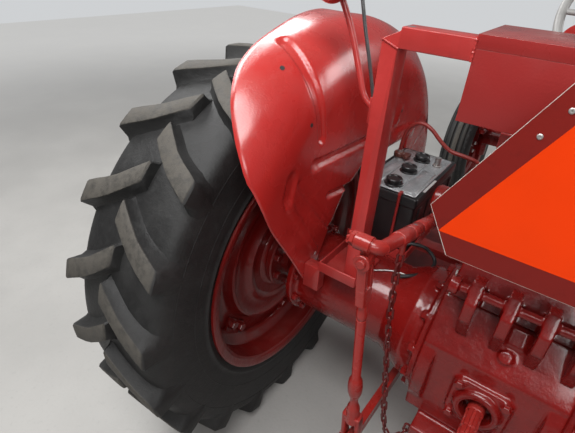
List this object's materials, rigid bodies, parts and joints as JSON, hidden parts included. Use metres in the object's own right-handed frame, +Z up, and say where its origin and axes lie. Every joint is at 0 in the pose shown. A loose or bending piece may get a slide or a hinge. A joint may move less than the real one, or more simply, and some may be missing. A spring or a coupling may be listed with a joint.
{
  "type": "farm tractor",
  "caption": "Two-wheel-drive farm tractor with lugged rear tyres, steered ribbed front tyres, three-point lift arms, drawbar and a rear tool box.",
  "frame": {"origin": "on the ground, in the middle of the tractor's box seen from above", "axes": "+X forward, +Y to the tractor's left, +Z up"},
  "size_m": [3.2008, 1.811, 1.79],
  "materials": {
    "sheet_red": "glossy red enamel",
    "cast_red": "semi-gloss dark red paint over rough castings",
    "frame_red": "brushed-on red paint on tube and sheet",
    "rim_red": "dark red rim paint",
    "tyre": "dusty black rubber",
    "bright_steel": "worn steel",
    "dark_steel": "dark heat-stained steel",
    "radiator_black": "matt black",
    "warning_orange": "fluorescent sheet with a dark red border",
    "battery_black": "black moulded plastic",
    "battery_grey": "milky grey plastic",
    "wheel_grey": "worn light grey plastic",
    "seat_vinyl": "black vinyl",
    "cable_red": "red rubber covering",
    "cable_black": "black rubber covering",
    "lamp_metal": "red lamp shells with clear lenses"
  },
  "bodies": {
    "chassis": {"rear_axle_housing": "cast_red", "lift_housing": "cast_red", "gearbox": "cast_red", "drawbar": "cast_red", "engine_block": "cast_red", "cylinder_head": "cast_red", "manifold": "dark_steel", "exhaust": "dark_steel", "engine_fittings": "cast_red", "fan": "radiator_black", "radiator": "radiator_black", "front_bolster": "cast_red", "front_axle": "cast_red", "bonnet": "sheet_red", "nose": "sheet_red", "grille": "radiator_black", "dash_panel": "sheet_red", "steering_column": "frame_red", "headlamps": "lamp_metal", "fender_left": "sheet_red", "fender_right": "sheet_red", "platforms": "frame_red", "frame_post_left": "frame_red", "frame_post_right": "frame_red", "tool_box": "frame_red", "warning_plate": "warning_orange", "battery_tray": "frame_red", "battery_case": "battery_black", "battery_top": "battery_grey", "seat_bracket": "frame_red", "seat_pan": "sheet_red", "seat_cushion": "seat_vinyl", "controls": "frame_red", "work_lamp": "lamp_metal", "chain": "cast_red", "battery_cable": "cable_red", "lamp_cable": "cable_black"},
    "rear_wheel_left": {"rear_tyre_left": "tyre", "rear_rim_left": "rim_red"},
    "rear_wheel_right": {"rear_tyre_right": "tyre", "rear_rim_right": "rim_red"},
    "knuckle_left": {"knuckle_left": "cast_red"},
    "knuckle_right": {"knuckle_right": "cast_red"},
    "front_wheel_left": {"front_tyre_left": "tyre", "front_rim_left": "rim_red"},
    "front_wheel_right": {"front_tyre_right": "tyre", "front_rim_right": "rim_red"},
    "tie_rod_left": {"tie_rod_left": "frame_red"},
    "tie_rod_right": {"tie_rod_right": "frame_red"},
    "centre_arm": {"centre_arm": "cast_red"},
    "steering_wheel": {"steering_wheel": "wheel_grey"},
    "pto_shaft": {"pto_shaft": "bright_steel"},
    "lift_arms": {"lift_arms": "frame_red"},
    "lift_rod_left": {"lift_rod_left": "frame_red"},
    "lift_rod_right": {"lift_rod_right": "frame_red"},
    "lower_link_left": {"lower_link_left": "cast_red"},
    "lower_link_right": {"lower_link_right": "cast_red"},
    "tool_box_lid": {"tool_box_lid": "frame_red"}
  },
  "joints": [
    {"name": "rear_left_roll", "type": "hinge", "parent": "chassis", "child": "rear_wheel_left", "pos_m": [-0.81461, 0.757, 0.6025], "axis": [0, 1, 0], "continuous": true},
    {"name": "rear_right_roll", "type": "hinge", "parent": "chassis", "child": "rear_wheel_right", "pos_m": [-0.81461, -0.757, 0.6025], "axis": [0, 1, 0], "continuous": true},
    {"name": "steer_left", "type": "hinge", "parent": "chassis", "child": "knuckle_left", "pos_m": [1.23539, 0.54, 0.5], "axis": [0, 0, 1], "range_deg": [-36, 36]},
    {"name": "steer_right", "type": "hinge", "parent": "chassis", "child": "knuckle_right", "pos_m": [1.23539, -0.54, 0.5], "axis": [0, 0, 1], "range_deg": [-36, 36]},
    {"name": "steer_centre", "type": "hinge", "parent": "chassis", "child": "centre_arm", "pos_m": [1.10539, 0, 0.56], "axis": [0, 0, 1], "range_deg": [-36, 36]},
    {"name": "steer_rod_left", "type": "hinge", "parent": "knuckle_left", "child": "tie_rod_left", "pos_m": [1.08539, 0.54, 0.565], "axis": [0, 0, 1], "range_deg": [-36, 36]},
    {"name": "steer_rod_right", "type": "hinge", "parent": "knuckle_right", "child": "tie_rod_right", "pos_m": [1.08539, -0.54, 0.565], "axis": [0, 0, 1], "range_deg": [-36, 36]},
    {"name": "steer_wheel", "type": "hinge", "parent": "chassis", "child": "steering_wheel", "pos_m": [-0.17461, 0, 1.33], "axis": [-0.8192, 0, 0.5736], "range_deg": [-432, 432]},
    {"name": "front_left_roll", "type": "hinge", "parent": "knuckle_left", "child": "front_wheel_left", "pos_m": [1.23539, 0.632, 0.36522], "axis": [0, 0.999, -0.0436], "continuous": true},
    {"name": "front_right_roll", "type": "hinge", "parent": "knuckle_right", "child": "front_wheel_right", "pos_m": [1.23539, -0.632, 0.36522], "axis": [0, 0.999, 0.0436], "continuous": true},
    {"name": "pto_turn", "type": "hinge", "parent": "chassis", "child": "pto_shaft", "pos_m": [-1.01461, 0, 0.6], "axis": [1, 0, 0], "continuous": true},
    {"name": "lift", "type": "hinge", "parent": "chassis", "child": "lift_arms", "pos_m": [-0.74461, 0, 0.925], "axis": [0, 1, 0], "range_deg": [-19, 16], "deforming": ["chain"]},
    {"name": "lift_rod_left_pivot", "type": "hinge", "parent": "lift_arms", "child": "lift_rod_left", "pos_m": [-1.14461, 0.282, 0.965], "axis": [0, 1, 0], "range_deg": [-16, 19]},
    {"name": "lift_rod_right_pivot", "type": "hinge", "parent": "lift_arms", "child": "lift_rod_right", "pos_m": [-1.14461, -0.282, 0.965], "axis": [0, 1, 0], "range_deg": [-16, 19]},
    {"name": "lower_link_left_pivot", "type": "hinge", "parent": "chassis", "child": "lower_link_left", "pos_m": [-0.72461, 0.22, 0.375], "axis": [0, 1, 0], "range_deg": [-19, 16]},
    {"name": "lower_link_right_pivot", "type": "hinge", "parent": "chassis", "child": "lower_link_right", "pos_m": [-0.72461, -0.22, 0.375], "axis": [0, 1, 0], "range_deg": [-19, 16]},
    {"name": "tool_box_lid_hinge", "type": "hinge", "parent": "chassis", "child": "tool_box_lid", "pos_m": [-0.74861, 0, 1.305], "axis": [0, 1, 0], "range_deg": [0, 100]}
  ],
  "couplings": [
    {"joint": "steer_right", "follows": "steer_left", "ratio": 1},
    {"joint": "steer_centre", "follows": "steer_left", "ratio": 1},
    {"joint": "steer_rod_left", "follows": "steer_left", "ratio": -1},
    {"joint": "steer_rod_right", "follows": "steer_left", "ratio": -1},
    {"joint": "steer_wheel", "follows": "steer_left", "ratio": 12},
    {"joint": "lift_rod_left_pivot", "follows": "lift", "ratio": -1},
    {"joint": "lift_rod_right_pivot", "follows": "lift", "ratio": -1},
    {"joint": "lower_link_left_pivot", "follows": "lift", "ratio": 1},
    {"joint": "lower_link_right_pivot", "follows": "lift", "ratio": 1}
  ]
}
